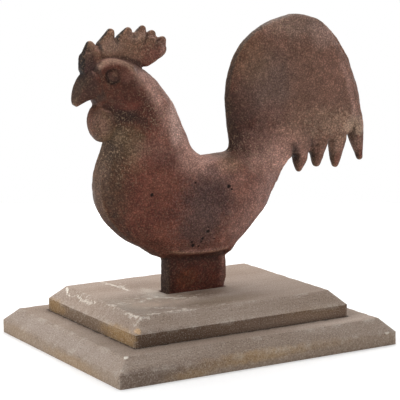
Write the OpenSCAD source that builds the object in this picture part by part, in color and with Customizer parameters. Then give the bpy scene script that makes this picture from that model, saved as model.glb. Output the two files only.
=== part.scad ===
// Cast-iron rooster windmill weight on a two-step wooden display stand.
// The stem of the casting drops into a mortise and lifts out again.
// X runs along the stand with the beak towards -X, Y runs through the casting, Z is up.
// The origin is the middle of the stand's underside.

/* [Lower board] */
// Length of the lower board along X
lower_l = 231; // [215:1:300]
// Depth of the lower board along Y
lower_d = 185; // [165:1:240]
// Thickness of the lower board
lower_t = 19; // [16:0.5:30]
// Width of the bevel round the top of the lower board
lower_bevel = 9.5; // [3:0.5:12]

/* [Upper board] */
// Length of the upper board along X
upper_l = 179; // [150:1:200]
// Depth of the upper board along Y
upper_d = 134; // [100:1:150]
// Thickness of the upper board
upper_t = 19; // [16:0.5:30]
// Width of the bevel round the top of the upper board
upper_bevel = 10; // [3:0.5:12]

/* [Stem and mortise] */
// Middle of the stem along X, from the middle of the stand
stem_x = -3.5; // [-15:0.5:15]
// Width of the stem along X
stem_w = 50; // [40:1:56]
// Thickness of the stem along Y
stem_t = 12.5; // [9:0.5:18]
// Radius of the stem's upright corners
stem_corner = 3; // [1:0.5:4]
// Wood left under the stem in the lower board
mortise_floor = 9; // [5:0.5:14]
// Clearance between the stem and each side of the mortise
mortise_gap = 0.6; // [0.3:0.1:1.5]

/* [Casting] */
// Length of the bird from its beak to its last tail feather
bird_l = 253; // [225:1:290]
// Height of the bird above the stand
bird_h = 200; // [180:1:230]
// Thickness of the bird's body at its fullest
body_t = 42; // [34:1:50]
// Thickness of the tail at its root
tail_t = 17; // [12:1:24]
// Thickness of the comb at its foot
comb_t = 10; // [7:1:14]
// Thickness of the beak where it leaves the face
beak_t = 19; // [14:1:24]
// Thickness across the pair of wattles
wattle_t = 25; // [20:1:30]
// Radius of the domed eyes
eye_r = 4.8; // [3:0.2:6]
// Diameter of a tail feather where it leaves the tail
tine_root_d = 16; // [12:0.5:18]
// Diameter of a tail feather at its tip
tine_tip_d = 5.5; // [4:0.5:8]
// Diameter of a comb point at its tip
point_tip_d = 4.4; // [3:0.2:6]

/* [Board screws] */
// Diameter of the screw shank
screw_d = 4.2; // [3:0.1:5.5]
// How far a screw reaches into the upper board
screw_bite = 12.5; // [8:0.5:14]
// Diameter of the countersunk head
screw_head_d = 8.2; // [7:0.1:11]
// Width of the driver slot
screw_slot_w = 1.2; // [0.8:0.1:1.6]
// Depth of the driver slot
screw_slot_h = 1.1; // [0.6:0.1:1.4]
// How far the heads lie below the underside
screw_sink = 0.5; // [0.2:0.1:2]
// Distance of each screw from the edges of the upper board
screw_inset = 24; // [18:1:32]
// Clearance between a screw and its hole
screw_gap = 0.1; // [0.05:0.05:0.3]

/* [Hidden] */

// Smoothness: rings between two stations, sides of a ring, facets of a ball
ring_steps = 3;
ring_sides = 24;
ball_sides = 16;

// How far a cut runs past the face it breaks through
over = 1;

// Height of the stand, and how far the stem reaches down into it
stand_top = lower_t + upper_t;
stem_depth = stand_top - mortise_floor;

// Screws: a right-angled countersink, the length with the head, and the pointed end
screw_head_h = (screw_head_d - screw_d) / 2;
screw_l = lower_t - screw_sink + screw_bite;
screw_tip_h = screw_d;

// Stations of the casting: front or lower edge x, z, then back or upper edge x, z, then the
// share of the full thickness. They are heights above the stand, and x from the stem's middle.
// All the places are drawn for a bird 253 long and 200 high, and fitted() stretches them.
BODY = [
    [-76, 174.5, -59, 173.5, 0.26],
    [-82, 171, -48, 168.5, 0.5],
    [-85, 162, -37, 161, 0.6],
    [-85, 151, -28, 152, 0.65],
    [-81, 142, -21, 143, 0.68],
    [-75, 132, -16, 133, 0.73],
    [-71, 121, -11, 122, 0.79],
    [-73, 110, -6, 112, 0.86],
    [-77, 100, 0, 103, 0.93],
    [-80, 90, 12, 98, 0.98],
    [-81, 80, 29, 99, 1],
    [-79, 70, 52, 95, 1],
    [-74, 60, 68, 79, 1],
    [-67, 52, 64, 64, 0.97],
    [-58, 44, 56, 51, 0.9],
    [-45, 37, 45, 40, 0.8],
    [-34, 30, 35, 31, 0.66],
    [-26, 26, 27, 24, 0.44]];
TAIL = [
    [85, 200, 93, 200, 0.25],
    [73, 197, 102, 198, 0.55],
    [59, 192, 114, 192, 0.72],
    [48, 184, 124, 183, 0.82],
    [40, 176, 133, 172, 0.88],
    [34, 166, 141, 159, 0.92],
    [30, 155, 147, 145, 0.95],
    [28, 142, 151, 130, 0.97],
    [29, 130, 152, 116, 0.98],
    [30, 121, 139, 106, 1],
    [31, 113, 120, 103, 1],
    [32, 105, 101, 97, 1],
    [31, 97, 84, 90, 1],
    [23, 80, 72, 75, 1]];
RUMP = [
    [34, 118, 112, 104, 0.36],
    [32, 104, 92, 95, 0.46],
    [27, 99, 77, 83, 0.6],
    [18, 97, 67, 68, 0.77],
    [4, 95, 55, 54, 0.9],
    [-12, 88, 40, 44, 0.95]];
COMB = [
    [-88, 160, -91.5, 167, 0.6],
    [-83, 162, -91, 174, 0.9],
    [-77, 165, -86, 179, 1],
    [-69, 167, -74, 183, 1],
    [-60, 167, -62, 187, 1],
    [-51, 166, -49, 190, 1],
    [-45, 166, -38, 190, 1],
    [-40, 166, -28.5, 185.5, 0.95],
    [-37, 166.5, -23.2, 179.5, 0.75],
    [-33, 168.8, -25, 176.5, 0.35]];
BEAK = [
    [-85, 167, -73, 146, 1],
    [-91, 162, -81, 146, 0.9],
    [-95.5, 155, -86, 144.5, 0.72],
    [-97.5, 147, -91, 142.5, 0.5],
    [-97.5, 142.5, -94.5, 140.5, 0.25]];

// Front foot, back foot and tip of each comb point, and root and tip of each tail feather: x, z
POINTS = [
    [-86.6, 173, -79.5, 177, -83.4, 182.9],
    [-74.5, 181, -68.3, 182, -67, 191.3],
    [-58.5, 185.5, -53.5, 184, -53, 191.8],
    [-45, 187, -42.5, 186, -41.6, 192.7],
    [-39.5, 185, -35, 182, -33.8, 189.2],
    [-34, 180, -27.5, 178, -25, 184.6]];
FEATHERS = [
    [94.2, 100, 94.5, 82.7],
    [112, 102, 111, 85.7],
    [130, 105, 128.7, 83.7],
    [146.2, 112, 152, 87.7]];

// Middle of the eye, and the middle, half width and half height of the wattle
EYE = [-70.3, 160.8];
EYE_REST = 0.4;
WATTLE = [-75, 129];
WATTLE_HALF = [9.4, 14.5];

// How flat-sided a ring is: 2 is an ellipse, more is nearer a rounded plate
ROUND = 2;
BODY_SQUARE = 2.4;
PLATE_SQUARE = 3;

// Rows of places stretched to the bird's length and height, with a share at the end left as it is
function fitted(rows) =
    [for (row = rows)
        [for (i = [0 : len(row) - 1])
            row[i] * (i % 2 == 1 ? bird_h / 200 : i < len(row) - 1 ? bird_l / 253 : 1)]];

// Row of a station list at t, on a smooth curve through all its rows
function row_at(rows, t) =
    let (
        last = len(rows) - 1,
        i = min(floor(t), last - 1),
        f = t - i,
        a = rows[max(i - 1, 0)],
        b = rows[i],
        c = rows[i + 1],
        d = rows[min(i + 2, last)])
    (2 * b + (c - a) * f + (2 * a - 5 * b + 4 * c - d) * f ^ 2 + (3 * b - a - 3 * c + d) * f ^ 3) / 2;

// Cosine or sine drawn towards a square by its power
function squared(v, square) = sign(v) * abs(v) ^ (2 / square);

// Ring of points from one edge of the casting to the other, round both its faces
function ring(row, thick, square) =
    let (
        mid = [row[0] + row[2], row[1] + row[3]] / 2,
        half = [row[2] - row[0], row[3] - row[1]] / 2)
    [for (k = [0 : ring_sides - 1])
        let (
            across = squared(cos(360 * k / ring_sides), square),
            out = squared(sin(360 * k / ring_sides), square))
        [mid.x + half.x * across, thick / 2 * row[4] * out, mid.y + half.y * across]];

// Closed form through a list of stations
module loft(stations, thick, square) {
    rows = fitted(stations);
    count = (len(rows) - 1) * ring_steps;
    points = [for (i = [0 : count]) each ring(row_at(rows, i / ring_steps), thick, square)];
    sides = [for (i = [0 : count - 1], k = [0 : ring_sides - 1])
        let (
            a = i * ring_sides + k,
            b = i * ring_sides + (k + 1) % ring_sides)
        each [[a, b, a + ring_sides], [b, b + ring_sides, a + ring_sides]]];
    first = [for (k = [ring_sides - 1 : -1 : 0]) k];
    last = [for (k = [0 : ring_sides - 1]) count * ring_sides + k];
    polyhedron(points, concat([first], sides, [last]));
}

// Rounded finger between two places in the middle plane
module finger(place, d_from, d_to) {
    hull() {
        translate([place[0], 0, place[1]])
            sphere(d = d_from, $fn = ball_sides);
        translate([place[2], 0, place[3]])
            sphere(d = d_to, $fn = ball_sides);
    }
}

// Point of the comb on two feet, in the middle plane
module comb_point(place) {
    hull() {
        for (foot = [0, 2])
            translate([place[foot], 0, place[foot + 1]])
                sphere(d = 0.75 * comb_t, $fn = ball_sides);
        translate([place[4], 0, place[5]])
            sphere(d = point_tip_d, $fn = ball_sides);
    }
}

// Bar with round upright corners from the mortise floor to the body's lowest stations
module stem() {
    into_body = fitted(BODY)[len(BODY) - 3][1];
    hull()
        for (x = [-1, 1], y = [-1, 1])
            translate([x * (stem_w / 2 - stem_corner), y * (stem_t / 2 - stem_corner), -stem_depth])
                cylinder(r = stem_corner, h = stem_depth + into_body, $fn = 32);
}

// Pair of domed eyes, part sunk in the sides of the head
module eyes() {
    eye = fitted([EYE])[0];
    for (side = [-1, 1])
        translate([eye.x, side * body_t / 2 * EYE_REST, eye.y])
            sphere(r = eye_r, $fn = ball_sides);
}

module wattles() {
    middle = fitted([WATTLE])[0];
    half = fitted([WATTLE_HALF])[0];
    translate([middle.x, 0, middle.y])
        scale([half.x, wattle_t / 2, half.y])
            sphere(r = 1, $fn = ring_sides);
}

// The bird and its stem, one solid iron casting
module rooster_casting() {
    color("#6b4a40")
        translate([stem_x, 0, stand_top]) {
            loft(BODY, body_t, BODY_SQUARE);
            loft(RUMP, body_t, ROUND);
            loft(TAIL, tail_t, PLATE_SQUARE);
            loft(COMB, comb_t, PLATE_SQUARE);
            loft(BEAK, beak_t, BODY_SQUARE);
            for (place = fitted(POINTS))
                comb_point(place);
            for (place = fitted(FEATHERS))
                finger(place, tine_root_d, tine_tip_d);
            wattles();
            eyes();
            stem();
        }
}

// Outline of a bevelled board seen from one end
module board_end(width, thick, bevel) {
    half = width / 2;
    polygon([
        [-half, 0],
        [half, 0],
        [half, thick - bevel],
        [half - bevel, thick],
        [bevel - half, thick],
        [-half, thick - bevel]]);
}

// Board with an even bevel round its top
module board(length, depth, thick, bevel) {
    intersection() {
        rotate([90, 0, 0])
            linear_extrude(depth, center = true)
                board_end(length, thick, bevel);
        rotate([90, 0, 90])
            linear_extrude(length, center = true)
                board_end(depth, thick, bevel);
    }
}

// Square-cornered hole for the stem, from the mortise floor up
module mortise() {
    size = [stem_w + 2 * mortise_gap, stem_t + 2 * mortise_gap, stem_depth + over];
    translate([stem_x - size.x / 2, -size.y / 2, mortise_floor])
        cube(size);
}

// Puts its children at the four screws
module at_screws() {
    for (x = [-1, 1], y = [-1, 1])
        translate([x * (upper_l / 2 - screw_inset), y * (upper_d / 2 - screw_inset), 0])
            children();
}

// Countersunk wood screw with its head down, or the hole for it with a gap all round
module screw_form(gap) {
    translate([0, 0, screw_sink]) {
        cylinder(d1 = screw_head_d + 2 * gap, d2 = screw_d + 2 * gap, h = screw_head_h);
        translate([0, 0, screw_head_h])
            cylinder(d = screw_d + 2 * gap, h = screw_l - screw_head_h - screw_tip_h + gap);
        translate([0, 0, screw_l - screw_tip_h + gap])
            cylinder(d1 = screw_d + 2 * gap, d2 = screw_d / 4, h = screw_tip_h);
    }
}

module screw_hole() {
    screw_form(screw_gap);
    translate([0, 0, -over])
        cylinder(d = screw_head_d + 2 * screw_gap, h = screw_sink + over);
}

module upper_board() {
    color("#a0948a")
        difference() {
            translate([0, 0, lower_t])
                board(upper_l, upper_d, upper_t, upper_bevel);
            mortise();
            at_screws()
                screw_hole();
        }
}

module lower_board() {
    color("#94887e")
        difference() {
            board(lower_l, lower_d, lower_t, lower_bevel);
            mortise();
            at_screws()
                screw_hole();
        }
}

module board_screws() {
    color("#8f8f8c")
        at_screws()
            difference() {
                screw_form(0);
                translate([-screw_head_d / 2, -screw_slot_w / 2, screw_sink - over])
                    cube([screw_head_d, screw_slot_w, screw_slot_h + over]);
            }
}

rooster_casting();
upper_board();
lower_board();
board_screws();
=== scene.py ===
"""Looks of a cast-iron rooster windmill weight on its two-step wooden stand.

Lengths in the dataclasses are millimetres in the shared frame: X runs along the stand with the
beak towards -X, Y runs through the casting and Z is up from the stand's underside.
"""

import logging
import math
from collections.abc import Iterator
from contextlib import contextmanager
from dataclasses import dataclass
from enum import Enum

import bpy
import numpy as np
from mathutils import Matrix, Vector, noise


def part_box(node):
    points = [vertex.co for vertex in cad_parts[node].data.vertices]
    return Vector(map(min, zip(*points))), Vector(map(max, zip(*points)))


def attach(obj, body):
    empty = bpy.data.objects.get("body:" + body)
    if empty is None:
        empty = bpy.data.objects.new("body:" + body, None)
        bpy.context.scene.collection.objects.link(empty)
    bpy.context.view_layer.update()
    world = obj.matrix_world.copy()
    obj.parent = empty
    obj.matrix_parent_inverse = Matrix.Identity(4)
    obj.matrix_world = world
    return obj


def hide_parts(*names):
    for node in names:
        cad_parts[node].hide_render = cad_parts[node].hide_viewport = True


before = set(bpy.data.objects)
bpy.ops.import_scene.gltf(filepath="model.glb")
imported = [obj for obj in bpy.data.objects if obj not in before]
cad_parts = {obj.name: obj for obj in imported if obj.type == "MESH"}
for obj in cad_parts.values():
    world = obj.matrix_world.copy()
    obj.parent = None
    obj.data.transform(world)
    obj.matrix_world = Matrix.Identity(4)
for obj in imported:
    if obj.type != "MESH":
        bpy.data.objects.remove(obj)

MM = 0.001
LOG = logging.getLogger("windmill_weight")
# Half the size in millimetres of a patch that reaches through the casting, so that both faces show it
THROUGH = 400.0
# Shader noise stays within about a quarter of its middle, and this stretches it to about -1 to 1
NOISE_STRETCH = 4.0
# Share of the normal along Y between which a rim of the casting turns into a face
FACE_FROM = (0.12, 0.5)

Pair = tuple[float, float]
Triple = tuple[float, float, float]
Line = tuple[Pair, ...]
Socket = bpy.types.NodeSocket
Sockets = bpy.types.bpy_prop_collection


def linear(hex_colour: str) -> tuple[float, float, float, float]:
    """Turns an sRGB hex colour into the linear colour that a shader takes.

    Args:
        hex_colour: Colour such as "#8a6f5c".

    Returns:
        Red, green, blue and an alpha of 1.
    """
    parts = [int(hex_colour[i:i + 2], 16) / 255 for i in (1, 3, 5)]
    red, green, blue = (c / 12.92 if c <= 0.04045 else ((c + 0.055) / 1.055) ** 2.4 for c in parts)
    return red, green, blue, 1.0


def deselect_all() -> None:
    """Empties the selection, so that the next operators work on nothing else."""
    bpy.ops.object.select_all(action="DESELECT")


def make_active(obj: bpy.types.Object) -> None:
    """Selects one object alone and makes it active.

    Args:
        obj: The object that the next operators work on.
    """
    deselect_all()
    obj.select_set(True)
    bpy.context.view_layer.objects.active = obj


@contextmanager
def edit_mode(obj: bpy.types.Object) -> Iterator[None]:
    """Opens a piece in edit mode, with all of its mesh selected, until the block ends.

    Args:
        obj: The piece.

    Yields:
        Nothing.
    """
    make_active(obj)
    bpy.ops.object.mode_set(mode="EDIT")
    bpy.ops.mesh.select_all(action="SELECT")
    yield
    bpy.ops.object.mode_set(mode="OBJECT")


def apply_modifier(obj: bpy.types.Object, kind: str, **settings: object) -> None:
    """Adds a modifier, sets it and applies it.

    Args:
        obj: The object that is changed.
        kind: Blender's name for the kind of modifier.
        **settings: Its properties and their values.
    """
    make_active(obj)
    modifier = obj.modifiers.new(kind.title(), kind)
    for name, value in settings.items():
        setattr(modifier, name, value)
    bpy.ops.object.modifier_apply(modifier=modifier.name)


def copy_of_node(node: str, name: str) -> bpy.types.Object:
    """Copies the mesh of a CAD node into a new piece, with its doubled points merged.

    Args:
        node: Name of the CAD node.
        name: Name of the new piece.

    Returns:
        The new piece, in place and unparented.
    """
    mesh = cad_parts[node].data.copy()
    mesh.materials.clear()
    mesh.name = name
    obj = bpy.data.objects.new(name, mesh)
    bpy.context.scene.collection.objects.link(obj)
    with edit_mode(obj):
        bpy.ops.mesh.remove_doubles(threshold=0.01 * MM)
        bpy.ops.mesh.normals_make_consistent(inside=False)
    return obj


def points_of(obj: bpy.types.Object) -> np.ndarray:
    """Reads the points of a mesh in millimetres.

    Args:
        obj: The piece.

    Returns:
        One row of x, y, z for each point.
    """
    flat = np.empty(len(obj.data.vertices) * 3)
    obj.data.vertices.foreach_get("co", flat)
    return flat.reshape(-1, 3) / MM


def normals_of(obj: bpy.types.Object) -> np.ndarray:
    """Reads the point normals of a mesh.

    Args:
        obj: The piece.

    Returns:
        One unit row for each point.
    """
    flat = np.empty(len(obj.data.vertices) * 3)
    obj.data.vertices.foreach_get("normal", flat)
    return flat.reshape(-1, 3)


def set_points(obj: bpy.types.Object, points: np.ndarray) -> None:
    """Writes the points of a mesh.

    Args:
        obj: The piece.
        points: One row of x, y, z in millimetres for each point.
    """
    obj.data.vertices.foreach_set("co", (points * MM).ravel())
    obj.data.update()


def store(obj: bpy.types.Object, name: str, values: np.ndarray) -> None:
    """Keeps one value at each point of a mesh, for its material to read.

    Args:
        obj: The piece.
        name: Name of the attribute.
        values: One value for each point.
    """
    obj.data.attributes.new(name, "FLOAT", "POINT").data.foreach_set("value", values)


def smooth_step(low: float, high: float, value: np.ndarray) -> np.ndarray:
    """Rises smoothly from 0 at low to 1 at high, or falls where high is below low.

    Args:
        low: Value that gives 0.
        high: Value that gives 1.
        value: The values to ease.

    Returns:
        Shares from 0 to 1.
    """
    t = np.clip((value - low) / (high - low), 0, 1)
    return t * t * (3 - 2 * t)


def line_distance(flat: np.ndarray, line: Line) -> tuple[np.ndarray, np.ndarray]:
    """Measures how far points in a plane are from a line of several legs.

    Args:
        flat: One row of two coordinates for each point.
        line: The corners of the line; a single corner measures from that place.

    Returns:
        The distance of each point, and how far along the line its nearest place is, from 0 to 1.
    """
    best = np.linalg.norm(flat - np.array(line[0]), axis=1)
    share = np.zeros(len(flat))
    for k, (start, end) in enumerate(zip(line, line[1:])):
        a, leg = np.array(start), np.array(end) - np.array(start)
        along = np.clip(((flat - a) @ leg) / (leg @ leg), 0, 1)
        away = np.linalg.norm(flat - a - along[:, None] * leg, axis=1)
        share = np.where(away < best, (k + along) / (len(line) - 1), share)
        best = np.minimum(best, away)
    return best, share


def closeness(points: np.ndarray, line: Line, width: float | np.ndarray) -> np.ndarray:
    """Falls off smoothly from 1 on a line, as the casting is seen from its side.

    Args:
        points: Places in millimetres.
        line: The line in x and z.
        width: Distance from the line at which about a third is left.

    Returns:
        Shares from 0 to 1.
    """
    away, _ = line_distance(points[:, [0, 2]], line)
    return np.exp(-(away / width) ** 2)


def field_noise(points: np.ndarray, size: float, seed: float, octaves: int = 3) -> np.ndarray:
    """Samples a smooth noise field that is the same in every run.

    Args:
        points: Places in millimetres.
        size: Width in millimetres of the largest lumps.
        seed: Moves the field, so that two fields differ.
        octaves: How many finer layers are added.

    Returns:
        About -1 to 1 for each point.
    """
    shift = Vector((seed, 2.3 * seed, -1.7 * seed))
    return np.array([
        noise.fractal(Vector(p) / size + shift, 0.6, 2.1, octaves) for p in points.tolist()])


class Side(Enum):
    """Which faces of the casting a sculpted stroke marks."""

    BOTH = 0
    FRONT = -1


@dataclass(frozen=True)
class Stroke:
    """One pass of a sculpting tool over the faces of the casting.

    The line is given as x and z in millimetres, as it lies on the surface. The lift fades along
    the line to the share end.
    """

    line: Line
    width: float
    lift: float
    end: float = 1.0
    side: Side = Side.BOTH

    def push(self, points: np.ndarray, normals: np.ndarray) -> np.ndarray:
        """Works out how far this stroke moves each point along its normal.

        Args:
            points: Places in millimetres.
            normals: Unit normals at those places.

        Returns:
            Millimetres outwards for each point.
        """
        away, along = line_distance(points[:, [0, 2]], self.line)
        share = np.exp(-(away / self.width) ** 2) * (1 + (self.end - 1) * along)
        share *= smooth_step(*FACE_FROM, np.abs(normals[:, 1]))
        if self.side is not Side.BOTH:
            share *= np.sign(normals[:, 1]) == self.side.value
        return self.lift * share


def ring(centre: Pair, radius: float, count: int = 20) -> Line:
    """Lays a closed line round a place.

    Args:
        centre: Middle of the ring.
        radius: Its radius.
        count: Number of legs.

    Returns:
        The corners of the line.
    """
    turns = [2 * math.pi * k / count for k in range(count + 1)]
    return tuple((centre[0] + radius * math.cos(t), centre[1] + radius * math.sin(t)) for t in turns)


@dataclass(frozen=True)
class Patch:
    """A place on both faces of the casting: its middle and half size in x and z, and its edge."""

    centre: Pair
    reach: Pair
    soft: float = 0.5
    ragged: float = 0.25
    grain: float = 6.0


@dataclass(frozen=True)
class Stain:
    """A tinted place on both faces of the casting: its middle and half size in x and z."""

    centre: Pair
    reach: Pair
    colour: str
    share: float
    soft: float = 1.0
    ragged: float = 0.2
    grain: float = 8.0


class Graph:
    """Small builder for a material's nodes, which carries the colour that is laid so far."""

    def __init__(self, name: str, base: str = "#ffffff") -> None:
        """Starts a material with its output alone.

        Args:
            name: Name of the material, after the real one and its process.
            base: Hex colour that the layers go over.
        """
        self.material = bpy.data.materials.new(name)
        self.material.use_nodes = True
        self.tree = self.material.node_tree
        self.tree.nodes.clear()
        self.out = self.tree.nodes.new("ShaderNodeOutputMaterial")
        self.colour: object = linear(base)

    def add(self, kind: str, inputs: dict | None = None, **settings: object) -> bpy.types.Node:
        """Adds a node with its settings and links.

        Args:
            kind: Node type without its "ShaderNode" prefix.
            inputs: Socket name or number to a value, or to an output socket that is linked in.
            **settings: Node properties.

        Returns:
            The new node.
        """
        node = self.tree.nodes.new("ShaderNode" + kind)
        for name, value in settings.items():
            setattr(node, name, value)
        for name, value in (inputs or {}).items():
            if isinstance(value, Socket):
                self.tree.links.new(value, node.inputs[name])
            else:
                node.inputs[name].default_value = value
        return node

    def place(self) -> Socket:
        """Gives the place on the piece.

        Returns:
            Object coordinates in metres.
        """
        return self.add("TexCoord").outputs["Object"]

    def axes(self, vector: Socket) -> Sockets:
        """Splits a vector.

        Args:
            vector: The vector.

        Returns:
            Its parts along "X", "Y" and "Z".
        """
        return self.add("SeparateXYZ", {0: vector}).outputs

    def normal(self, kind: str = "Normal") -> Sockets:
        """Gives the way that the surface faces.

        Args:
            kind: "Normal", or "True Normal" for flat faces.

        Returns:
            Its parts along "X", "Y" and "Z".
        """
        return self.axes(self.add("NewGeometry").outputs[kind])

    def noise(self, size_mm: float, detail: float = 3, stretch: Triple = (1, 1, 1),
              shift: float = 0.0, rough: float = 0.55) -> Socket:
        """Adds a noise pattern of a real size.

        Args:
            size_mm: Width of its largest lumps.
            detail: Octaves of finer lumps.
            stretch: How much longer the lumps are along each axis.
            shift: Moves the pattern, so that two patterns differ.
            rough: How strong the finer lumps are.

        Returns:
            The noise's factor, about 0.3 to 0.7.
        """
        scale = tuple(1 / (size_mm * MM * s) for s in stretch)
        mapped = self.add("Mapping", {
            "Vector": self.place(), "Scale": scale, "Location": (shift, 1.7 * shift, -shift)})
        return self.add("TexNoise", {
            "Vector": mapped.outputs[0], "Scale": 1.0, "Detail": detail,
            "Roughness": rough}).outputs["Fac"]

    def ramp(self, value: Socket, low: float, high: float,
             to_low: float = 0.0, to_high: float = 1.0) -> Socket:
        """Eases a value between two limits.

        Args:
            value: Value to ease.
            low: Value that gives to_low.
            high: Value that gives to_high.
            to_low: Result at and below low.
            to_high: Result at and above high.

        Returns:
            The eased value.
        """
        return self.add("MapRange", {
            "Value": value, "From Min": low, "From Max": high, "To Min": to_low,
            "To Max": to_high}, interpolation_type="SMOOTHSTEP").outputs[0]

    def height(self, low: float, high: float) -> Socket:
        """Eases from one height on the piece to another.

        Args:
            low: Millimetres up that give 0.
            high: Millimetres up that give 1.

        Returns:
            Shares from 0 to 1.
        """
        return self.ramp(self.axes(self.place())["Z"], low * MM, high * MM)

    def math(self, operation: str, a: object, b: object = 0.5) -> Socket:
        """Joins two values.

        Args:
            operation: Blender's name for the operation.
            a: First value or socket.
            b: Second value or socket.

        Returns:
            The result.
        """
        return self.add("Math", {0: a, 1: b}, operation=operation).outputs[0]

    def times(self, a: object, b: object) -> Socket:
        """Multiplies two values.

        Args:
            a: First value or socket.
            b: Second value or socket.

        Returns:
            Their product.
        """
        return self.math("MULTIPLY", a, b)

    def torn(self, size_mm: float, detail: float, shift: float, reach: float) -> Socket:
        """Makes noise round 0 that moves an edge to and fro.

        Args:
            size_mm: Width of its largest lumps.
            detail: Octaves of finer lumps.
            shift: Moves the pattern, so that two patterns differ.
            reach: About how far it moves the edge.

        Returns:
            The move.
        """
        lumps = self.math("SUBTRACT", self.noise(size_mm, detail, shift=shift), 0.5)
        return self.times(lumps, NOISE_STRETCH * reach)

    def lay(self, share: object, tone: object, blend: str = "MIX") -> None:
        """Lays a tone over the colour so far.

        Args:
            share: How much of the tone, as a value or socket.
            tone: The tone as a linear colour or socket.
            blend: Blend mode.
        """
        layer = self.add("Mix", {0: share, 6: self.colour, 7: tone}, data_type="RGBA", blend_type=blend)
        self.colour = layer.outputs[2]

    def tint(self, tone: str, share: Socket, strength: float = 1.0) -> None:
        """Lays a plain tone over the colour so far.

        Args:
            tone: Hex colour of the tone.
            share: Where it lies, from 0 to 1.
            strength: How much of it shows there.
        """
        self.lay(self.times(share, strength), linear(tone))

    def attribute(self, name: str) -> Socket:
        """Reads a value that the piece carries at its points.

        Args:
            name: Name of the attribute.

        Returns:
            Its value.
        """
        return self.add("Attribute", attribute_name=name).outputs["Fac"]

    def patch(self, place: Patch | Stain) -> Socket:
        """Makes a soft, ragged patch that both faces of the casting show.

        Args:
            place: Where it lies and how it ends.

        Returns:
            1 inside and 0 outside.
        """
        (x, z), (wide, tall) = place.centre, place.reach
        return self.blot((x, 0, z), (wide, THROUGH, tall), place.soft, place.ragged, place.grain)

    def blot(self, centre: Triple, reach: Triple, soft: float, ragged: float, grain: float) -> Socket:
        """Makes a soft, ragged patch at a place on the piece.

        Args:
            centre: Middle of the patch in millimetres.
            reach: Half its size along each axis in millimetres.
            soft: Share of its size over which it fades.
            ragged: How far noise moves its edge.
            grain: Width of the lumps of that noise in millimetres.

        Returns:
            1 inside and 0 outside.
        """
        moved = self.add("VectorMath", {
            0: self.place(), 1: tuple(c * MM for c in centre)}, operation="SUBTRACT").outputs[0]
        scaled = self.add("VectorMath", {
            0: moved, 1: tuple(1 / (r * MM) for r in reach)}, operation="MULTIPLY").outputs[0]
        away = self.add("VectorMath", {0: scaled}, operation="LENGTH").outputs["Value"]
        edge = self.math("ADD", away, self.torn(grain, 4, centre[0], ragged))
        return self.ramp(edge, 1.0 + soft / 2, 1.0 - soft / 2)

    def scratch(self, start: Triple, end: Triple, width: float) -> Socket:
        """Makes a thin, broken line between two places on the piece.

        Args:
            start: One end in millimetres.
            end: The other end in millimetres.
            width: Half its width in millimetres.

        Returns:
            1 on the line and 0 away from it.
        """
        a, leg = Vector(start) * MM, (Vector(end) - Vector(start)) * MM
        moved = self.add("VectorMath", {0: self.place(), 1: a}, operation="SUBTRACT").outputs[0]
        along = self.add("VectorMath", {0: moved, 1: leg / leg.length_squared},
                         operation="DOT_PRODUCT").outputs["Value"]
        along = self.add("Clamp", {"Value": along}).outputs[0]
        near = self.add("VectorMath", {0: leg, "Scale": along}, operation="SCALE").outputs[0]
        away = self.add("VectorMath", {0: moved, 1: near}, operation="SUBTRACT").outputs[0]
        away = self.add("VectorMath", {0: away}, operation="LENGTH").outputs["Value"]
        edge = self.math("ADD", away, self.torn(3, 3, start[0], 2.5 * width * MM))
        return self.ramp(edge, 1.4 * width * MM, 0.4 * width * MM)

    def finish(self, roughness: object, height: Socket | None = None, bump_mm: float = 0.0,
               metallic: float = 0.0, specular: float = 0.5) -> bpy.types.Material:
        """Closes the material with a main shader in the colour so far.

        Args:
            roughness: Roughness as a value or socket.
            height: Height pattern for the relief that is too fine to model.
            bump_mm: Depth of that relief.
            metallic: Share of metal.
            specular: Strength of the surface gloss.

        Returns:
            The finished material.
        """
        inputs = {"Base Color": self.colour, "Roughness": roughness, "Metallic": metallic,
                  "Specular IOR Level": specular}
        if height is not None:
            inputs["Normal"] = self.add("Bump", {
                "Height": height, "Distance": bump_mm * MM, "Strength": 1.0}).outputs[0]
        shader = self.add("BsdfPrincipled", inputs)
        self.tree.links.new(shader.outputs[0], self.out.inputs["Surface"])
        return self.material


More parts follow.
